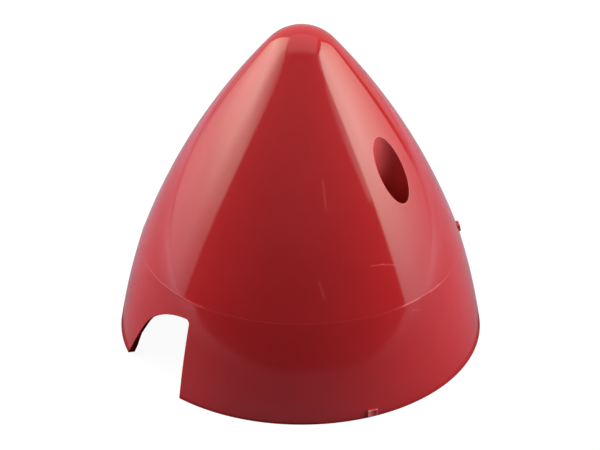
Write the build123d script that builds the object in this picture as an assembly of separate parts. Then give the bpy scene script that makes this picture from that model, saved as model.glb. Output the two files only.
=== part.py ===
from build123d import *
import math
import os

# Spinner cone of a two-blade propeller, moulded in one piece, open at the rim.
# Millimetres. The origin is the centre of the rim, +Z runs to the nose, +X through one screw well.

# Outer form
base_diameter = 63.0  # over the open rim
total_height = 55.1  # from the rim to the tip of the nose
crease_height = 16.5  # where the skirt meets the long flank
crease_inset = 4.15  # how far the crease lies inside the rim
skirt_bow = 0.31  # how far the skirt bows out from a straight cone
flank_radius = 116.0  # long arc from the crease up to the nose
nose_radius = 7.45  # round nose, tangent to the flank
flank_strips = 5  # the flank is turned as a row of strips, which keeps its facets few

# Wall and rim
wall = 1.3  # at the crease and the nose, a little more between them
core_tapers = 3  # straight stretches that the core follows inside the flank
rim_wall = 2.0  # at the rim
rim_bore_depth = 5.0  # straight bore inside the rim, up to the feet of the tubes and webs

# Screw wells, sunk from the flank down to the backplate
well_count = 2
screw_circle = 36.2  # diameter of the circle through the screw axes
screw_head_diameter = 5.5
head_clearance = 0.2  # between the screw head and the well, each side
screw_hole_diameter = 3.2
seat_thickness = 2.0  # floor of the well, under the screw head
boss_wall = 1.2  # tube round the well, inside the cone
web_thickness = 1.2  # rib that ties the tube to the skirt

# Blade notches, one for each blade, cut straight through along Y
notch_count = 2
notch_height = 13.65
notch_edge_offset = 0.87  # from the screw wells' middle plane to the straight edge
notch_top_radius = 13.1  # arc that falls away from the straight edge
notch_flank_lean = 30.7  # degrees from upright, where the far side runs out at the rim
notch_corner_radius = 0.75

# Gate marks, small tabs left where the runner was broken off
gate_width = 1.7
gate_height = 1.1
gate_proud = 0.3
gate_edge_radius = 0.12
rim_gate_azimuth = -31.0
rim_gate_lift = 0.45  # from the rim up to the lower tab
crease_gate_azimuth = 44.0
crease_gate_lift = 0.2  # from the crease down to the upper tab's foot

base_radius = base_diameter / 2
crease_radius = base_radius - crease_inset
well_radius = screw_head_diameter / 2 + head_clearance
boss_radius = well_radius + boss_wall
well_floor = rim_bore_depth + seat_thickness
through = base_diameter + total_height  # longer than anything it has to cut through


def centre_left_of(start, start_distance, end, end_distance):
    """The point at these distances from two points, on the left of the way from start to end."""
    gap = (end - start).length
    way = (end - start) / gap
    along = (start_distance**2 - end_distance**2 + gap**2) / (2 * gap)
    return start + way * along + Vector(-way.Y, way.X) * math.sqrt(start_distance**2 - along**2)


def angle_from(centre, point):
    """Direction of a point seen from a centre, in degrees."""
    return math.degrees(math.atan2(point.Y - centre.Y, point.X - centre.X))


# The outer profile, X away from the axis and Y up it
rim_point = Vector(base_radius, 0)
crease_point = Vector(crease_radius, crease_height)
nose_centre = Vector(0, total_height - nose_radius)
flank_centre = centre_left_of(crease_point, flank_radius, nose_centre, flank_radius - nose_radius)
skirt_chord = (crease_point - rim_point).length
skirt_radius = skirt_chord**2 / (8 * skirt_bow) + skirt_bow / 2
skirt_centre = centre_left_of(rim_point, skirt_radius, crease_point, skirt_radius)


def turned(profile, foot_x, tip_y):
    """The solid that a profile encloses when it is turned about the axis."""
    outline = Wire(profile + [Line((0, tip_y), (0, 0)), Line((0, 0), (foot_x, 0))])
    return revolve(Plane.XZ * make_face(outline), Axis.Z)


def outer_form():
    """The full cone: a slightly bowed skirt, a long arched flank and a round nose."""
    foot = angle_from(skirt_centre, rim_point)
    skirt = CenterArc(
        skirt_centre, skirt_radius, foot, angle_from(skirt_centre, crease_point) - foot
    )
    crease = angle_from(flank_centre, crease_point)
    tangent = angle_from(flank_centre, nose_centre)
    strip = (tangent - crease) / flank_strips
    flank = [
        CenterArc(flank_centre, flank_radius, crease + strip * i, strip)
        for i in range(flank_strips)
    ]
    nose = CenterArc(nose_centre, nose_radius, tangent, 90 - tangent)
    return turned([skirt] + flank + [nose], base_radius, total_height)


def core():
    """What the wall leaves open: a bore at the rim, straight tapers above it and a round end."""
    crease = angle_from(flank_centre, crease_point)
    tangent = angle_from(flank_centre, nose_centre)
    inner_flank = CenterArc(flank_centre, flank_radius - wall, crease, tangent - crease)
    corners = [inner_flank @ (i / core_tapers) for i in range(core_tapers + 1)]
    foot_x = base_radius - rim_wall
    tapers = Polyline([(foot_x, 0), (foot_x, rim_bore_depth)] + corners)
    nose = CenterArc(nose_centre, nose_radius - wall, tangent, 90 - tangent)
    return turned(tapers.edges() + [nose], foot_x, total_height - wall)


def radius_at(centre, radius, height):
    """Distance from the axis of a point at this height on an arc."""
    return centre.X + math.sqrt(radius**2 - (height - centre.Y) ** 2)


outer = outer_form()


def well_bosses():
    """Tubes and webs under the wells, whose feet end where the rim's bore does."""
    lift = Align.CENTER, Align.CENTER, Align.MIN
    tube = Cylinder(boss_radius, total_height, align=lift)
    web = Box(base_radius, web_thickness, total_height, align=(Align.MIN, Align.CENTER, Align.MIN))
    blanks = Part() + PolarLocations(screw_circle / 2, well_count) * (tube + web)
    return Pos(0, 0, rim_bore_depth) * blanks & outer


def well_bores():
    """The screw wells and, through their floors, the screw holes."""
    lift = Align.CENTER, Align.CENTER, Align.MIN
    well = Pos(0, 0, well_floor) * Cylinder(well_radius, through, align=lift)
    hole = Cylinder(screw_hole_diameter / 2, through, align=lift)
    return Part() + PolarLocations(screw_circle / 2, well_count) * (well + hole)


def notches():
    """Cutters for the blade notches: one straight side, a round top and a long run-out."""
    top = Vector(-notch_edge_offset, notch_height)
    centre = top - Vector(0, notch_top_radius)
    arc = CenterArc(centre, notch_top_radius, 90, 90 - notch_flank_lean)
    turn = arc @ 1
    drop = turn.Y + through
    below = turn - Vector(drop * math.tan(math.radians(notch_flank_lean)), drop)
    side = Vector(top.X, below.Y)
    face = make_face(Wire([Line(side, top), arc, Line(turn, below), Line(below, side)]))
    face = fillet(face.vertices().sort_by(Axis.Y)[-1], notch_corner_radius)
    cutter = Pos(0, -base_radius / 2, 0) * extrude(Plane.XZ * face, through)
    return Part() + PolarLocations(0, notch_count) * cutter


def gate_mark(azimuth, foot_height, centre, radius):
    """A small tab on the surface whose arc is given, sunk halfway into the wall."""
    seat = radius_at(centre, radius, foot_height)
    length = wall / 2 + gate_proud
    tab = Box(length, gate_width, gate_height, align=(Align.MIN, Align.CENTER, Align.MIN))
    tab = fillet(tab.edges().group_by(Axis.X)[-1], gate_edge_radius)
    return Rot(0, 0, azimuth) * (Pos(seat - wall / 2, 0, foot_height) * tab)


spinner_cone = outer - core() + well_bosses() - well_bores() - notches()
spinner_cone += gate_mark(rim_gate_azimuth, rim_gate_lift, skirt_centre, skirt_radius)
spinner_cone += gate_mark(
    crease_gate_azimuth, crease_height - crease_gate_lift, flank_centre, flank_radius
)

os.makedirs("parts", exist_ok=True)
export_step(spinner_cone, "parts/spinner_cone.step")
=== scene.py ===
import bmesh
import bpy
import math
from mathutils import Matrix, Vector


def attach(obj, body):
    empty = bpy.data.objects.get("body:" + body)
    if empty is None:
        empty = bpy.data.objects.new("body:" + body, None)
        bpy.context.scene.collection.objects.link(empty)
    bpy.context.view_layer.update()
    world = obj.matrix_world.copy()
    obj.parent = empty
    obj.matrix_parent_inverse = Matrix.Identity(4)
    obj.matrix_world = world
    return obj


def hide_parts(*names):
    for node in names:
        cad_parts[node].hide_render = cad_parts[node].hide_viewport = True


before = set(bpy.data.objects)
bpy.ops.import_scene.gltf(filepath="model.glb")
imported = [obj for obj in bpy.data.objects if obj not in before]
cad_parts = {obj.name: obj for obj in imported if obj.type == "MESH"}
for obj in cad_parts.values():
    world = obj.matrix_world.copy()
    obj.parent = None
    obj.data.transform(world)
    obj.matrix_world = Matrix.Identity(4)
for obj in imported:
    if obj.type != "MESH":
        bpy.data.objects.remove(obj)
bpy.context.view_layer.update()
mm = 0.001
weld = 0.001  # points closer than this count as one, in millimetres
facing = 0.99  # a face looks a certain way when its unit normal reaches this far along it
photoTurn = 37.4  # degrees from the photographer's own axes to the part's


# small helpers for modelling by hand

def startProfile(name, x, z):
    # one vertex in the XZ plane, ready to be drawn on
    bpy.ops.object.select_all(action="DESELECT")
    bpy.ops.mesh.primitive_plane_add(size=mm)
    piece = bpy.context.object
    piece.name = piece.data.name = name
    bpy.ops.object.mode_set(mode="EDIT")
    bpy.ops.mesh.select_mode(type="VERT")
    bpy.ops.mesh.merge(type="CENTER")
    bpy.ops.transform.translate(value=(x * mm, 0, z * mm))
    piece["penX"], piece["penZ"] = x, z
    return piece


def lineTo(piece, x, z):
    step = ((x - piece["penX"]) * mm, 0, (z - piece["penZ"]) * mm)
    bpy.ops.mesh.extrude_region_move(TRANSFORM_OT_translate={"value": step})
    piece["penX"], piece["penZ"] = x, z


def arcBy(piece, centre, degrees, steps):
    # turns the pen round a centre, anticlockwise with X to the right and Z up
    turn = math.radians(degrees)
    middle = (centre[0] * mm, 0, centre[1] * mm)
    bpy.ops.mesh.spin(steps=steps, angle=turn, center=middle, axis=(0, 1, 0))
    dx, dz = piece["penX"] - centre[0], piece["penZ"] - centre[1]
    piece["penX"] = centre[0] + dx * math.cos(turn) - dz * math.sin(turn)
    piece["penZ"] = centre[1] + dx * math.sin(turn) + dz * math.cos(turn)


def latheRound(piece, x, steps):
    # spins the drawn profile full circle round an upright axis and closes it
    bpy.ops.mesh.select_all(action="SELECT")
    bpy.ops.mesh.spin(steps=steps, angle=math.tau, center=(x * mm, 0, 0), axis=(0, 0, 1))
    bpy.ops.mesh.select_all(action="SELECT")
    bpy.ops.mesh.remove_doubles(threshold=weld * mm)
    bpy.ops.mesh.normals_make_consistent(inside=False)
    bpy.ops.object.mode_set(mode="OBJECT")
    del piece["penX"], piece["penZ"]


def selectWhere(piece, parts, test):
    # picks vertices, edges or faces of the mesh in edit mode, by their place or normal
    mesh = bmesh.from_edit_mesh(piece.data)
    for part in getattr(mesh, parts):
        part.select_set(False)
    for part in getattr(mesh, parts):
        if test(part):
            part.select_set(True)
    bmesh.update_edit_mesh(piece.data)


def applyBoolean(piece, tool, operation):
    bpy.ops.object.select_all(action="DESELECT")
    bpy.context.view_layer.objects.active = piece
    piece.select_set(True)
    cut = piece.modifiers.new(operation.title(), "BOOLEAN")
    cut.operation, cut.solver, cut.object = operation, "EXACT", tool
    bpy.ops.object.modifier_apply(modifier=cut.name)
    bpy.data.objects.remove(tool, do_unlink=True)


def joinAll(pieces):
    bpy.ops.object.select_all(action="DESELECT")
    for piece in pieces:
        piece.select_set(True)
    bpy.context.view_layer.objects.active = pieces[0]
    bpy.ops.object.join()
    return pieces[0]


def copyTurned(piece, degrees):
    # a copy with its own mesh, turned about the cone's axis
    bpy.ops.object.select_all(action="DESELECT")
    piece.select_set(True)
    bpy.context.view_layer.objects.active = piece
    bpy.ops.object.duplicate()
    copy = bpy.context.object
    copy.rotation_euler.z = math.radians(degrees)
    bpy.ops.object.transform_apply(location=False, rotation=True, scale=False)
    return copy


def angleOf(centre, point):
    return math.degrees(math.atan2(point[1] - centre[1], point[0] - centre[0]))


def centreLeftOf(start, startRadius, end, endRadius):
    # where two circles cross, on the left of the way from the first centre to the second
    start, end = Vector(start), Vector(end)
    gap = (end - start).length
    way = (end - start) / gap
    along = (startRadius ** 2 - endRadius ** 2 + gap ** 2) / (2 * gap)
    return start + way * along + Vector((-way.y, way.x)) * math.sqrt(startRadius ** 2 - along ** 2)


# the cone, all sizes in millimetres

cone = {
    "baseRadius": 31.5,
    "height": 55.1,
    "creaseInset": 4.15,  # how far the crease lies inside the rim
    "creaseHeight": 16.5,
    "skirtBow": 0.31,  # how far the skirt bows out from a straight cone
    "flankRadius": 116.0,
    "noseRadius": 7.45,
    "wall": 1.3,
    "coreTapers": 3,  # straight stretches of the core inside the flank
    "rimWall": 2.0,
    "rimBore": 5.0,  # height of the straight bore inside the rim
    "rimEdge": 0.25,  # rounding outside the foot
    "leadIn": (0.8, 1.0),  # chamfer inside the foot, its width and height
    "seamProud": 0.03,  # fine moulding line along the crease
    "seamWidth": 0.2,
    "roundSteps": 320,
    "footSteps": 4,
    "skirtSteps": 26,
    "flankSteps": 60,
    "noseSteps": 16,
    "coreSteps": 12,  # round end of the core
    "smoothAngle": 30,  # edges sharper than this stay sharp
}


def coneCentres():
    rim = Vector((cone["baseRadius"], 0))
    crease = Vector((cone["baseRadius"] - cone["creaseInset"], cone["creaseHeight"]))
    nose = Vector((0, cone["height"] - cone["noseRadius"]))
    flank = centreLeftOf(crease, cone["flankRadius"], nose, cone["flankRadius"] - cone["noseRadius"])
    chord = (crease - rim).length
    skirtRadius = chord ** 2 / (8 * cone["skirtBow"]) + cone["skirtBow"] / 2
    skirt = centreLeftOf(rim, skirtRadius, crease, skirtRadius)
    return rim, crease, nose, flank, skirt


def pointOn(centre, radius, degrees):
    turn = math.radians(degrees)
    return centre[0] + radius * math.cos(turn), centre[1] + radius * math.sin(turn)


def buildCone():
    rim, crease, nose, flank, skirt = coneCentres()
    tangent = angleOf(flank, nose)
    start = angleOf(flank, crease)
    wall = cone["wall"]
    shell = startProfile("spinnerCone", 0, cone["height"] - wall)
    arcBy(shell, nose, tangent - 90, cone["coreSteps"])
    for i in range(cone["coreTapers"] - 1, -1, -1):
        turn = start + (tangent - start) * i / cone["coreTapers"]
        lineTo(shell, *pointOn(flank, cone["flankRadius"] - wall, turn))
    bore = rim.x - cone["rimWall"]
    edge, leadIn = cone["rimEdge"], cone["leadIn"]
    lineTo(shell, bore, cone["rimBore"])
    lineTo(shell, bore, leadIn[1])
    lineTo(shell, bore + leadIn[0], 0)
    # rounded foot, then the skirt
    lean = angleOf(skirt, rim)
    turn = math.radians(lean)
    centre = (rim.x - edge / math.cos(turn) * (1 + math.sin(turn)), edge)
    lineTo(shell, centre[0], 0)
    arcBy(shell, centre, 90 + lean, cone["footSteps"])
    begin = angleOf(skirt, (shell["penX"], shell["penZ"]))
    end = angleOf(skirt, crease)
    # close rows beside the moulding line keep it crisp
    below = math.degrees(cone["seamWidth"] / 2 / (rim - skirt).length)
    above = math.degrees(cone["seamWidth"] / 2 / cone["flankRadius"])
    arcBy(shell, skirt, end - below * 2 - begin, cone["skirtSteps"])
    arcBy(shell, skirt, below, 1)
    out = pointOn((0, 0), cone["seamProud"], (start + end) / 2)
    lineTo(shell, crease.x + out[0], crease.y + out[1])
    lineTo(shell, *pointOn(flank, cone["flankRadius"], start + above))
    arcBy(shell, flank, above, 1)
    arcBy(shell, flank, tangent - start - above * 2, cone["flankSteps"])
    arcBy(shell, nose, 90 - tangent, cone["noseSteps"])
    latheRound(shell, 0, cone["roundSteps"])
    return shell


# screw wells, their bosses inside the cone and the webs that tie them to the skirt

wells = {
    "fromAxis": 18.1,
    "radius": 2.95,
    "floor": 7.0,  # height at which the screw head sits
    "holeRadius": 1.6,
    "bossWall": 1.2,
    "web": 1.2,
    "rimSetBack": 0.3,  # further in at the rim, where the wall is thicker
    "pastRim": 1,  # how far the cutters start below the rim
    "roundSteps": 96,
    "bossRoundSteps": 64,
    "formerRoundSteps": 160,
    "formerFlankSteps": 24,
    "formerNoseSteps": 8,
}


def buildBosses():
    # blanks trimmed to the middle of the wall, so that they run into it
    rim, crease, nose, flank, skirt = coneCentres()
    middle = cone["wall"] / 2
    tangent, start = angleOf(flank, nose), angleOf(flank, crease)
    former = startProfile("former", 0, 0)
    lineTo(former, rim.x - middle - wells["rimSetBack"], 0)
    lineTo(former, *pointOn(flank, cone["flankRadius"] - middle, start))
    arcBy(former, flank, tangent - start, wells["formerFlankSteps"])
    arcBy(former, nose, 90 - tangent, wells["formerNoseSteps"])
    latheRound(former, 0, wells["formerRoundSteps"])
    top = cone["height"]
    low = cone["rimBore"]
    x = wells["fromAxis"]
    boss = startProfile("boss", x, low)
    lineTo(boss, x + wells["radius"] + wells["bossWall"], low)
    lineTo(boss, x + wells["radius"] + wells["bossWall"], top)
    lineTo(boss, x, top)
    latheRound(boss, x, wells["bossRoundSteps"])
    bpy.ops.object.select_all(action="DESELECT")
    reach = cone["baseRadius"] - x
    place = ((x + reach / 2) * mm, 0, (top + low) / 2 * mm)
    bpy.ops.mesh.primitive_cube_add(size=mm, location=place, scale=(reach, wells["web"], top - low))
    web = bpy.context.object
    bpy.ops.object.transform_apply(location=True, rotation=False, scale=True)
    applyBoolean(boss, web, "UNION")
    bosses = joinAll([boss, copyTurned(boss, 180)])
    applyBoolean(bosses, former, "INTERSECT")
    return bosses


def buildWells():
    # stepped cutter, a wide well over a narrow screw hole
    x, low = wells["fromAxis"], -wells["pastRim"]
    cutter = startProfile("wells", x, low)
    lineTo(cutter, x + wells["holeRadius"], low)
    lineTo(cutter, x + wells["holeRadius"], wells["floor"])
    lineTo(cutter, x + wells["radius"], wells["floor"])
    lineTo(cutter, x + wells["radius"], cone["height"])
    lineTo(cutter, x, cone["height"])
    latheRound(cutter, x, wells["roundSteps"])
    return joinAll([cutter, copyTurned(cutter, 180)])


# blade notches

notch = {
    "height": 13.65,
    "edgeOffset": 0.87,  # from the screw wells' middle plane to the straight edge
    "topRadius": 13.1,  # arc that falls away from the straight edge
    "lean": 30.7,  # degrees from upright, where the far side runs out at the rim
    "cornerRadius": 0.75,
    "pastRim": 2,  # how far the cutter starts below the rim
    "cutDepth": 20,  # how far it runs out through the skirt
    "cornerSteps": 10,
    "topSteps": 40,
    "cornerReach": 0.12,  # points this near a lobe's inner foot corner move with it
}


def buildNotches():
    x, corner, arc = -notch["edgeOffset"], notch["cornerRadius"], notch["topRadius"]
    centre = (x, notch["height"] - arc)
    cornerCentre = (x - corner, centre[1] + math.sqrt((arc - corner) ** 2 - corner ** 2))
    turn = angleOf(centre, cornerCentre)
    low = -notch["pastRim"]
    cutter = startProfile("notches", x, low)
    lineTo(cutter, x, cornerCentre[1])
    arcBy(cutter, cornerCentre, turn, notch["cornerSteps"])
    arcBy(cutter, centre, 180 - notch["lean"] - turn, notch["topSteps"])
    drop = cutter["penZ"] - low
    lineTo(cutter, cutter["penX"] - drop * math.tan(math.radians(notch["lean"])), low)
    bpy.ops.mesh.select_all(action="SELECT")
    bpy.ops.mesh.edge_face_add()
    bpy.ops.transform.translate(value=(0, -cone["baseRadius"] / 2 * mm, 0))
    bpy.ops.mesh.extrude_region_move(TRANSFORM_OT_translate={"value": (0, -notch["cutDepth"] * mm, 0)})
    bpy.ops.mesh.select_all(action="SELECT")
    bpy.ops.mesh.normals_make_consistent(inside=False)
    bpy.ops.object.mode_set(mode="OBJECT")
    del cutter["penX"], cutter["penZ"]
    return joinAll([cutter, copyTurned(cutter, 180)])


def squareLobes(piece):
    # each lobe beside a notch ends square to the wall at its tip,
    # so its inner foot corner is drawn along the rim
    inner = cone["baseRadius"] - cone["rimWall"] + cone["leadIn"][0]
    turn = math.radians(notch["lean"])
    x = -notch["edgeOffset"] - notch["topRadius"] * math.cos(turn)
    x -= (notch["height"] - notch["topRadius"] * (1 - math.sin(turn))) * math.tan(turn)
    corner = Vector((x, -math.sqrt(inner ** 2 - x ** 2), 0))
    tip = Vector((x, -math.sqrt(cone["baseRadius"] ** 2 - x ** 2), 0)).normalized() * inner
    bpy.ops.object.select_all(action="DESELECT")
    bpy.context.view_layer.objects.active = piece
    piece.select_set(True)
    bpy.ops.object.mode_set(mode="EDIT")
    bpy.ops.mesh.select_mode(type="VERT")
    near = notch["cornerReach"] * mm
    for side in (1, -1):
        selectWhere(piece, "verts", lambda vert: (vert.co - corner * side * mm).length < near)
        bpy.ops.transform.translate(value=tuple((tip - corner) * side * mm))
    bpy.ops.object.mode_set(mode="OBJECT")


# gate marks, small tabs left where the runner was broken off

gates = {
    "width": 1.7,
    "height": 1.1,
    "proud": 0.3,
    "sunk": 0.65,  # how deep it stands in the wall
    "edge": 0.1,
    "edgeSegments": 3,
    "lip": 0.22,  # left standing round the hollow of the lower tab
    "hollow": 0.14,
    "lipPick": 1.1,  # the hollow's lower edge is below this many lips above the tab's foot
    "lipDrop": 0.8,  # that edge goes down by this many lips, which opens the hollow to the rim
    "slope": 0.24,  # how far the upper tab's face leans back at its top
    "rimAzimuth": -31.0,
    "rimLift": 0.45,
    "creaseAzimuth": 44.0,
    "creaseLift": 0.2,
}


def buildGate(name, azimuth, foot, seat, slope, hollow):
    # a tab whose face slopes back to the top, or is broken hollow and open towards the rim
    out = seat + gates["proud"]
    length = gates["proud"] + gates["sunk"]
    middle = foot + gates["height"] / 2
    place = ((out - length / 2) * mm, 0, middle * mm)
    bpy.ops.object.select_all(action="DESELECT")
    bpy.ops.mesh.primitive_cube_add(size=mm, location=place, scale=(length, gates["width"], gates["height"]))
    tab = bpy.context.object
    tab.name = tab.data.name = name
    bpy.ops.object.transform_apply(location=True, rotation=False, scale=True)
    bpy.ops.object.mode_set(mode="EDIT")
    bpy.ops.mesh.select_mode(type="VERT")
    selectWhere(tab, "verts", lambda vert: vert.co.x > seat * mm and vert.co.z > middle * mm)
    bpy.ops.transform.translate(value=(-slope * mm, 0, 0))
    bpy.ops.mesh.select_mode(type="EDGE")
    selectWhere(tab, "edges", lambda edge: min(vert.co.x for vert in edge.verts) > seat * mm)
    bpy.ops.mesh.bevel(offset=gates["edge"] * mm, segments=gates["edgeSegments"], affect="EDGES")
    if hollow:
        bpy.ops.mesh.select_mode(type="FACE")
        selectWhere(tab, "faces", lambda face: face.normal.x > facing)
        bpy.ops.mesh.inset(thickness=(gates["lip"] - gates["edge"]) * mm)
        bpy.ops.transform.translate(value=(-hollow * mm, 0, 0))
        bpy.ops.mesh.select_mode(type="VERT")
        inner, low = (out - hollow / 2) * mm, (foot + gates["lip"] * gates["lipPick"]) * mm
        selectWhere(tab, "verts", lambda vert: seat * mm < vert.co.x < inner and vert.co.z < low)
        drop = gates["lip"] * gates["lipDrop"]
        bpy.ops.transform.translate(value=(0, 0, -drop * mm))
    bpy.ops.object.mode_set(mode="OBJECT")
    tab.rotation_euler.z = math.radians(azimuth)
    bpy.ops.object.transform_apply(location=False, rotation=True, scale=False)
    return tab


def radiusAt(centre, radius, z):
    return centre[0] + math.sqrt(radius ** 2 - (z - centre[1]) ** 2)


def buildGates():
    rim, crease, nose, flank, skirt = coneCentres()
    low = gates["rimLift"]
    high = cone["creaseHeight"] - gates["creaseLift"]
    lowSeat = radiusAt(skirt, (rim - skirt).length, low)
    highSeat = radiusAt(flank, cone["flankRadius"], high)
    lower = buildGate("rimGate", gates["rimAzimuth"], low, lowSeat, 0, gates["hollow"])
    upper = buildGate("creaseGate", gates["creaseAzimuth"], high, highSeat, gates["slope"], 0)
    return [lower, upper]


shell = buildCone()
print("shell turned", len(shell.data.polygons), "faces")
applyBoolean(shell, buildBosses(), "UNION")
print("bosses joined", len(shell.data.polygons), "faces")
applyBoolean(shell, buildWells(), "DIFFERENCE")
applyBoolean(shell, buildNotches(), "DIFFERENCE")
print("wells and notches cut", len(shell.data.polygons), "faces")
squareLobes(shell)
for gate in buildGates():
    applyBoolean(shell, gate, "UNION")
print("gate marks joined", len(shell.data.polygons), "faces")
bpy.ops.object.shade_smooth_by_angle(angle=math.radians(cone["smoothAngle"]))
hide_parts("spinner_cone")
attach(shell, "root")


# shader sums

class Wire:
    # wraps a socket, so that sums on sockets read as plain sums
    def __init__(self, tree, socket=None):
        self.tree, self.socket = tree, socket

    def add(self, kind, settings, values, out=0):
        # any node: its settings first, then the values or links of its sockets
        node = self.tree.nodes.new(kind)
        for name, value in settings.items():
            if name == "stops":
                ramp = node.color_ramp
                while len(ramp.elements) < len(value):
                    ramp.elements.new(1)
                for stop, (place, shade) in zip(ramp.elements, value):
                    stop.position, stop.color = place, (*shade, 1)
            else:
                setattr(node, name, value)
        for name, value in values.items():
            if isinstance(value, Wire):
                self.tree.links.new(value.socket, node.inputs[name])
            else:
                node.inputs[name].default_value = value
        return Wire(self.tree, node.outputs[out] if node.outputs else None)

    def sum(self, operation, first, second=0.0):
        return self.add("ShaderNodeMath", {"operation": operation}, {0: first, 1: second})

    def vector(self, operation, other, out=0):
        return self.add("ShaderNodeVectorMath", {"operation": operation}, {0: self, 1: other}, out)

    def mix(self, factor, plain, other):
        return self.add("ShaderNodeMix", {"data_type": "RGBA"}, {0: factor, 6: plain, 7: other}, 2)

    def ease(self, low, high):
        # 0 below low, 1 above high, smooth between them
        ends = {0: self, 1: low, 2: high, 3: 0.0, 4: 1.0}
        return self.add("ShaderNodeMapRange", {"interpolation_type": "SMOOTHSTEP"}, ends)

    def __add__(self, other):
        return self.sum("ADD", self, other)

    def __radd__(self, other):
        return self.sum("ADD", other, self)

    def __sub__(self, other):
        return self.sum("SUBTRACT", self, other)

    def __rsub__(self, other):
        return self.sum("SUBTRACT", other, self)

    def __mul__(self, other):
        return self.sum("MULTIPLY", self, other)

    def __truediv__(self, other):
        return self.sum("DIVIDE", self, other)


def startMaterial(name):
    material = bpy.data.materials.new(name)
    material.use_nodes = True
    material.node_tree.nodes.clear()
    return material, Wire(material.node_tree)


def noiseOn(coords, scale, detail, roughness):
    values = {"Vector": coords, "Scale": scale, "Detail": detail, "Roughness": roughness}
    return coords.add("ShaderNodeTexNoise", {}, values)


def fromPhoto(x, y, z):
    # a place in the photographer's axes, in millimetres: X right, Y away, Z up
    turn = math.radians(photoTurn)
    return Vector((x * math.cos(turn) - y * math.sin(turn), x * math.sin(turn) + y * math.cos(turn), z)) * mm


def placeAlong(coords, way, unit=1):
    # how far a point lies along one of the photographer's ways, in units of so many millimetres
    return coords.vector("DOT_PRODUCT", tuple(fromPhoto(*way) / (mm ** 2 * unit)), 1)


# glossy red plastic, coloured through

plasticLook = {
    "red": (0.45, 0.0183, 0.0222, 1),
    "deepRed": (0.43, 0.0168, 0.0205, 1),
    "markAndGlintRed": (0.84, 0.11, 0.114, 1),  # scratches, and painted highlights on and under the moulding line
    "whitenedAndGlintRed": (0.85, 0.24, 0.25, 1),  # stress-whitened break of the lower gate mark, with painted highlights on its edges
    "wellLitRed": (0.51, 0.045, 0.047, 1),  # painted light: a lighter, deeper red standing in for light through the wells' thin walls and bouncing inside them; their walls are matt
    "cloudScale": 70.0,  # patches in which the first two reds take turns
    "cloudNoise": (3.0, 0.55),  # detail and roughness, here and in the next two
    "cloudEdge": (0.35, 0.65),
    "grainScale": 1400.0,
    "grainNoise": (2.0, 0.6),
    "grainDepth": 0.35,  # against a scratch of depth 1
    "ior": 1.55,
    "roughness": 0.085,
    "roughnessSpread": 0.03,
    "wellRoughness": 0.32,  # these three come on top of the plain roughness
    "markRoughness": 0.2,
    "breakRoughness": 0.3,
    "wellEdge": (0.05, 0.2),  # the wells' look ends this far outside their bores
    "edgeSoftening": 0.18,
    "edgeSamples": 6,
    "waveScale": 150.0,
    "waveNoise": (1.0, 0.5),
    "waviness": 0.012,  # slow unevenness of the moulded face
    "reliefDepth": 0.02,  # of the grain and the scratches
    "reliefStrength": 0.12,
    "markShare": 2.0,  # how much of its own red a mark gets for its depth
    "markSideFade": (0.4, 1.6),  # in half widths
    "markStartFade": (-0.05, 0.15),  # in lengths
    "markEndFade": (0.8, 1.05),
    "scratchesAndGlints": [
        # from, to, half width and depth
        ((21.82, -10.62, 23.91), (23.03, -8.23, 23.54), 0.1, 0.2),
        ((22.71, -8.86, 23.7), (23.91, -6.39, 22.83), 0.1, 0.2),
        ((12.89, -11.39, 37.03), (14.97, -13.14, 32.44), 0.2, 0.1),
        ((17.05, -17.81, 23.04), (18.73, -18.12, 19.78), 0.22, 0.08),
        # a painted highlight: a faint pale arc just under the moulding line
        ((27.02, -6.11, 15.4), (27.66, -4.13, 14.57), 0.16, 0.07),
        # stretches of the moulding line painted pale: painted highlights where it catches the light
        ((26.34, -7.45, 16.5), (27.14, -3.57, 16.5), 0.14, 0.22),
        ((27.33, -1.5, 16.5), (27.3, 2.0, 16.5), 0.14, 0.16),
        ((-2.8, -27.22, 16.5), (1.67, -27.31, 16.5), 0.14, 0.16),
    ],
}


# the break of the lower gate mark, partly stress-whitened and partly painted highlight on its edges, in
# millimetres out from the rim's radius and along the tab

breakLook = {
    "edge": (0.06, 0.14),  # its outer edges, a painted highlight palest at the right
    "edgeRight": (0.4, 0.6),
    "edgeShare": 0.35,
    "seat": (-0.05, 0.04),  # the hollow, palest at the left
    "seatLeft": (-0.6, 0.25),
    "seatShare": 0.7,
}


def nearLine(coords, start, end, halfWidth):
    # 1 on a short straight line, fading to 0 at its sides and ends
    start, end = Vector(start) * mm, Vector(end) * mm
    way = end - start
    offset = coords.vector("SUBTRACT", tuple(start))
    along = offset.vector("DOT_PRODUCT", tuple(way / way.length_squared), 1)
    side = offset.vector("CROSS_PRODUCT", tuple(way.normalized())).vector("LENGTH", (0, 0, 0), 1)
    inner, outer = plasticLook["markSideFade"]
    line = 1 - (side / mm).ease(halfWidth * inner, halfWidth * outer)
    return line * along.ease(*plasticLook["markStartFade"]) * (1 - along.ease(*plasticLook["markEndFade"]))


def gateBreakAndGlint(x, y):
    # how pale the lower gate mark is where it was broken off: stress-whitening, and a painted highlight on
    # its edges
    out = x.sum("SQRT", x * x + y * y) - cone["baseRadius"]
    turn = math.radians(gates["rimAzimuth"])
    along = y * math.cos(turn) - x * math.sin(turn)
    share = breakLook["edgeShare"]
    edge = out.ease(*breakLook["edge"]) * (share + along.ease(*breakLook["edgeRight"]) * (1 - share))
    seat = out.ease(*breakLook["seat"]) * (1 - along.ease(*breakLook["seatLeft"])) * breakLook["seatShare"]
    return x.sum("MINIMUM", edge + seat, 1.0)


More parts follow.
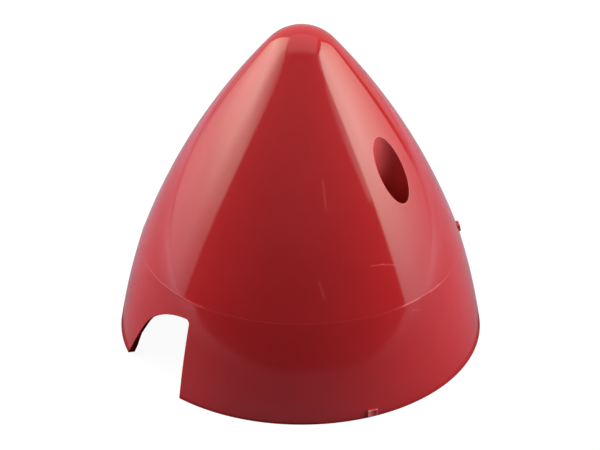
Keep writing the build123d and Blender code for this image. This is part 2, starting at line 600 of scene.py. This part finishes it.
def makePlastic():
    material, start = startMaterial("redPlastic")
    coords = start.add("ShaderNodeTexCoord", {}, {}, "Object")
    look = plasticLook
    cloud = noiseOn(coords, look["cloudScale"], *look["cloudNoise"])
    grain = noiseOn(coords, look["grainScale"], *look["grainNoise"])
    wave = noiseOn(coords, look["waveScale"], *look["waveNoise"])
    # pale scratches, and painted highlights on and under the moulding line
    marks = 0.0
    for begin, end, halfWidth, depth in look["scratchesAndGlints"]:
        marks = nearLine(coords, begin, end, halfWidth) * depth + marks
    x, y = (start.add("ShaderNodeSeparateXYZ", {}, {"Vector": coords}, axis) / mm for axis in (0, 1))
    aside = start.sum("ABSOLUTE", x) - wells["fromAxis"]
    fromWell = start.sum("SQRT", aside * aside + y * y) - wells["radius"]
    inWell = 1 - fromWell.ease(*look["wellEdge"])
    brokenAndGlint = gateBreakAndGlint(x, y)
    red = start.mix(cloud.ease(*look["cloudEdge"]), look["deepRed"], look["red"])
    # painted light inside the wells
    red = start.mix(inWell, red, look["wellLitRed"])
    red = start.mix(start.sum("MINIMUM", marks * look["markShare"], 1.0), red, look["markAndGlintRed"])
    red = start.mix(brokenAndGlint, red, look["whitenedAndGlintRed"])
    roughness = look["roughness"] + (cloud - 0.5) * look["roughnessSpread"] + marks * look["markRoughness"]
    roughness = roughness + inWell * look["wellRoughness"] + brokenAndGlint * look["breakRoughness"]
    softened = {"Radius": look["edgeSoftening"] * mm}
    soft = start.add("ShaderNodeBevel", {"samples": look["edgeSamples"]}, softened)
    slow = start.add("ShaderNodeBump", {}, {
        "Strength": 1.0,
        "Distance": look["waviness"] * mm,
        "Height": wave,
        "Normal": soft,
    })
    normal = start.add("ShaderNodeBump", {}, {
        "Strength": look["reliefStrength"],
        "Distance": look["reliefDepth"] * mm,
        "Height": grain * look["grainDepth"] - marks,
        "Normal": slow,
    })
    plastic = start.add("ShaderNodeBsdfPrincipled", {}, {
        "Base Color": red,
        "Roughness": roughness,
        "IOR": look["ior"],
        "Normal": normal,
    })
    start.add("ShaderNodeOutputMaterial", {}, {"Surface": plastic})
    return material


shell.data.materials.clear()
shell.data.materials.append(makePlastic())
print("plastic ready")


# studio: two tall light panels at the sides, the right one with a soft inner edge, a dim roof and back
# all places are in the photographer's millimetres

studio = {
    "rightPanel": ((437, -155, 0), (357, 287, 0), (357, 287, 515), (413, -203, 515)),
    "leftPanel": ((-462, -76, 0), (-279, 356, 0), (-195, 259, 515), (-395, -222, 515)),
    "rightHaze": ((418, -200, 200), (427.7, -173.6, 200), (413, -203, 515), (388, -310, 515)),
    "topHaze": ((413, -208, 515), (392, -20, 515), (402, -110, 555), (405, -290, 640)),
    "roof": ((-350, -330, 600), (350, -330, 600), (350, 420, 600), (-350, 420, 600)),
    "backCard": ((-300, 400, 0), (395, 400, 0), (395, 400, 600), (-300, 400, 600)),
    "panelGlow": 6.6,
    # shares of the panels' glow, by height above the table and by depth away from the photographer
    "rightByHeight": [(0, 0.21), (30, 0.24), (95, 0.4), (170, 0.64), (255, 0.86), (350, 0.88), (515, 0.86)],
    "rightByDepth": [(-190, 0.9), (-50, 1.08), (90, 0.78), (210, 0.52), (290, 0.4)],
    "leftByHeight": [(0, 0.18), (30, 0.2), (95, 0.3), (170, 0.55), (255, 0.76), (350, 0.62), (515, 0.42)],
    "leftByDepth": [(-200, 0.24), (-60, 0.64), (20, 1.08), (160, 1.06), (280, 0.76), (360, 0.36)],
    "rampHeight": 600,  # the ramp by height runs from the table up to this
    "rampDepth": 1000,  # the ramp by depth spans this, half of it before the cone's axis
    "rampPeak": 1.2,  # a ramp holds shares up to 1, so those by depth are divided by this
    "warmTop": (1.02, 1.0, 0.86, 1),
    "coolFoot": (0.98, 1.0, 1.06, 1),
    "warmRise": (0.0, 0.3),  # shares of the ramp's height
    "roofGlow": 0.98,
    "backGlow": 0.52,
    "hazeGlow": 1.4,
    # fades: the way along which a card brightens, and where that begins and ends
    "roofFade": ((0, 1, 0), -290, -70),
    "rightHazeFade": ((0, 1, 0), -300, -195),
    "topHazeFade": ((0, 0, -1), -630, -515),
    "fadedShare": 0.15,  # what is left of the glow where the fade begins
    "lamps": [
        # name, place, width and depth in metres, glow: they light the object but don't show in its gloss
        ("overhead", (0, 0, 590), 0.7, 0.22, 1.05),
        ("rightFill", (320, 0, 150), 0.28, 0.28, 1.55),
        ("leftFill", (-320, 0, 150), 0.28, 0.28, 1.2),
        ("frontFill", (0, -420, 60), 0.5, 0.12, 0.4),
    ],
    "lampAim": (0, 0, 25),
    "airLow": 0.03,
    "airHigh": 0.2,
    "airRise": (0.05, 0.8),
}


def buildCard(name, corners, material):
    # a flat card whose corners are moved to their places
    bpy.ops.object.select_all(action="DESELECT")
    bpy.ops.mesh.primitive_plane_add(size=2)
    card = bpy.context.object
    card.name = card.data.name = name
    bpy.ops.object.mode_set(mode="EDIT")
    bpy.ops.mesh.select_mode(type="VERT")
    for (x, y), corner in zip(((-1, -1), (1, -1), (1, 1), (-1, 1)), corners):
        selectWhere(card, "verts", lambda vert: (vert.co - Vector((x, y, 0))).length < weld * mm)
        bpy.ops.transform.translate(value=tuple(fromPhoto(*corner) - Vector((x, y, 0))))
    bpy.ops.object.mode_set(mode="OBJECT")
    card.data.materials.append(material)
    card.visible_camera = False
    return card


def makeGlow(name, strength, byHeight=None, byDepth=None, fade=None):
    # an even glow, a fading one, or one that changes with height and depth
    material, start = startMaterial(name)
    coords = start.add("ShaderNodeTexCoord", {}, {}, "Object")
    colour = (1, 1, 1, 1)
    if fade:
        along, begin, end = fade
        left = studio["fadedShare"]
        colour = start.mix(placeAlong(coords, along).ease(begin, end), (left, left, left, 1), colour)
    if byHeight:
        rise, reach, peak = studio["rampHeight"], studio["rampDepth"], studio["rampPeak"]
        height = placeAlong(coords, (0, 0, 1), rise)
        depth = placeAlong(coords, (0, 1, 0), reach) + 0.5
        heightStops = [(z / rise, (v, v, v)) for z, v in byHeight]
        depthStops = [(y / reach + 0.5, (v / peak, v / peak, v / peak)) for y, v in byDepth]
        heightRamp = start.add("ShaderNodeValToRGB", {"stops": heightStops}, {0: height})
        depthRamp = start.add("ShaderNodeValToRGB", {"stops": depthStops}, {0: depth})
        tint = start.mix(height.ease(*studio["warmRise"]), studio["coolFoot"], studio["warmTop"])
        colour = heightRamp.vector("MULTIPLY", depthRamp).vector("MULTIPLY", tint)
        strength *= peak
    glow = start.add("ShaderNodeEmission", {}, {"Color": colour, "Strength": strength})
    start.add("ShaderNodeOutputMaterial", {}, {"Surface": glow})
    return material


buildCard("rightPanel", studio["rightPanel"], makeGlow(
    "rightGlow", studio["panelGlow"], studio["rightByHeight"], studio["rightByDepth"]))
buildCard("rightHaze", studio["rightHaze"], makeGlow(
    "hazeGlow", studio["hazeGlow"], fade=studio["rightHazeFade"]))
buildCard("topHaze", studio["topHaze"], makeGlow(
    "topHazeGlow", studio["hazeGlow"], fade=studio["topHazeFade"]))
buildCard("leftPanel", studio["leftPanel"], makeGlow(
    "leftGlow", studio["panelGlow"], studio["leftByHeight"], studio["leftByDepth"]))
buildCard("roof", studio["roof"], makeGlow("roofGlow", studio["roofGlow"], fade=studio["roofFade"]))
buildCard("backCard", studio["backCard"], makeGlow("backGlow", studio["backGlow"]))
print("cards hung")


# the table, white to the camera with the object's faint shadow, and dull in the gloss, with painted light
# and shade

table = {
    "halfSize": 900,
    "glow": 0.95,
    "shade": 0.07,
    "tint": (0.95, 0.97, 1.22, 1),
    # painted light and shade for all but camera rays: how much it gives back in each zone, darker round the
    # cone, behind it and at its foot where its shadow falls, darkest in front, lighter out to the sides
    # where the panels light it; and where each zone fades in:
    # by depth away from the photographer, and out to the sides
    "near": 0.12,
    "beside": 0.27,
    "besideDepth": (-60, 0),
    "besideOut": (40, 140),
    "outer": 0.65,
    "outerOut": (80, 330),
    "behind": 0.22,
    "behindDepth": (60, 160),
    "behindOut": (100, 260),
    "far": 0.36,
    "farDepth": (70, 170),
    "farOut": (15, 80),
    "front": 0.03,
    "frontDepth": (-125, -95),
    "frontLift": 25,  # how much nearer the cone the front zone comes at both sides
    "liftRight": (10, 80),
    "liftLeft": (-160, -80),
    # painted contact shadow: a dark ring round the cone's foot
    "contactShadow": 0.05,
    "contactReach": (32.0, 33.0),  # from the cone's axis
}


def makeTable():
    material, start = startMaterial("whiteTable")
    toCamera = start.add("ShaderNodeLightPath", {}, {}, "Is Camera Ray")
    coords = start.add("ShaderNodeTexCoord", {}, {}, "Object")
    across = placeAlong(coords, (1, 0, 0))
    away = placeAlong(coords, (0, 1, 0))
    out = start.sum("ABSOLUTE", across)
    lift = across.ease(*table["liftRight"]) * table["frontLift"]
    lift = lift + (1 - across.ease(*table["liftLeft"])) * table["frontLift"]
    front = 1 - (away - lift).ease(*table["frontDepth"])
    behind = away.ease(*table["behindDepth"]) * (1 - out.ease(*table["behindOut"]))
    far = away.ease(*table["farDepth"]) * out.ease(*table["farOut"])
    beside = 1 - (1 - away.ease(*table["besideDepth"])) * (1 - out.ease(*table["besideOut"]))
    contactShadow = 1 - start.sum("SQRT", across * across + away * away).ease(*table["contactReach"])
    # painted light and shade: darker near, behind and under the cone, lighter out to the sides
    litAndShadedGrey = table["near"] + beside * (table["beside"] - table["near"])
    litAndShadedGrey = litAndShadedGrey + out.ease(*table["outerOut"]) * (table["outer"] - litAndShadedGrey)
    for mask, zone in ((behind, "behind"), (far, "far"), (front, "front"), (contactShadow, "contactShadow")):
        litAndShadedGrey = litAndShadedGrey + mask * (table[zone] - litAndShadedGrey)
    shade, glow, black = table["shade"], table["glow"], (0, 0, 0, 1)
    surface = start.add("ShaderNodeBsdfPrincipled", {}, {
        "Base Color": start.mix(toCamera, start.mix(litAndShadedGrey, black, table["tint"]), (shade, shade, shade, 1)),
        "Emission Color": start.mix(toCamera, black, (glow, glow, glow, 1)),
        "Emission Strength": 1.0,
        "Roughness": 1.0,
        "Specular IOR Level": 0.0,
    })
    start.add("ShaderNodeOutputMaterial", {}, {"Surface": surface})
    return material


half = table["halfSize"]
tableCorners = ((-half, -half, 0), (half, -half, 0), (half, half, 0), (-half, half, 0))
floor = buildCard("table", tableCorners, makeTable())
floor.visible_camera = True
print("table laid")


def hangLamp(name, place, width, depth, glow):
    lampData = bpy.data.lights.new(name, "AREA")
    lampData.shape, lampData.size, lampData.size_y = "RECTANGLE", width, depth
    lampData.energy = glow * math.pi * width * depth
    lamp = bpy.data.objects.new(name, lampData)
    lamp.location = fromPhoto(*place)
    way = fromPhoto(*studio["lampAim"]) - lamp.location
    lamp.rotation_euler = way.to_track_quat("-Z", "Y").to_euler()
    lamp.visible_glossy = False
    bpy.context.collection.objects.link(lamp)


for lampSizes in studio["lamps"]:
    hangLamp(*lampSizes)


def makeAir():
    # white to the camera, dim round the object and a little lighter above it
    world = bpy.data.worlds.new("studioAir")
    world.use_nodes = True
    world.node_tree.nodes.clear()
    air = Wire(world.node_tree)
    toCamera = air.add("ShaderNodeLightPath", {}, {}, "Is Camera Ray")
    coords = air.add("ShaderNodeTexCoord", {}, {}, "Generated")
    upwards = coords.vector("DOT_PRODUCT", (0, 0, 1), 1).ease(*studio["airRise"])
    low, high = studio["airLow"], studio["airHigh"]
    dim = air.mix(upwards, (low, low, low, 1), (high, high, high, 1))
    colour = air.mix(toCamera, dim, (1, 1, 1, 1))
    background = air.add("ShaderNodeBackground", {}, {"Color": colour, "Strength": 1.0})
    air.add("ShaderNodeOutputWorld", {}, {"Surface": background})
    return world


bpy.context.scene.world = makeAir()
print("studio lit")


# the camera stands where the photographer's stood

view = {
    "place": (-0.160, -241.03, 158.81),
    "aim": (-0.164, 0, 18.73),
    "roll": 0.2,
    "lens": 98.09,
    "sensorWidth": 36,
    "clipStart": 0.01,
}


def setCamera():
    cameraData = bpy.data.cameras.new("camera")
    cameraData.lens = view["lens"]
    cameraData.sensor_width = view["sensorWidth"]
    cameraData.clip_start = view["clipStart"]
    camera = bpy.data.objects.new("camera", cameraData)
    bpy.context.collection.objects.link(camera)
    camera.location = fromPhoto(*view["place"])
    way = fromPhoto(*view["aim"]) - camera.location
    camera.rotation_euler = way.to_track_quat("-Z", "Y").to_euler()
    camera.rotation_euler.rotate_axis("Z", math.radians(view["roll"]))
    return camera


bpy.context.scene.camera = setCamera()
bpy.context.scene.view_settings.view_transform = "Standard"
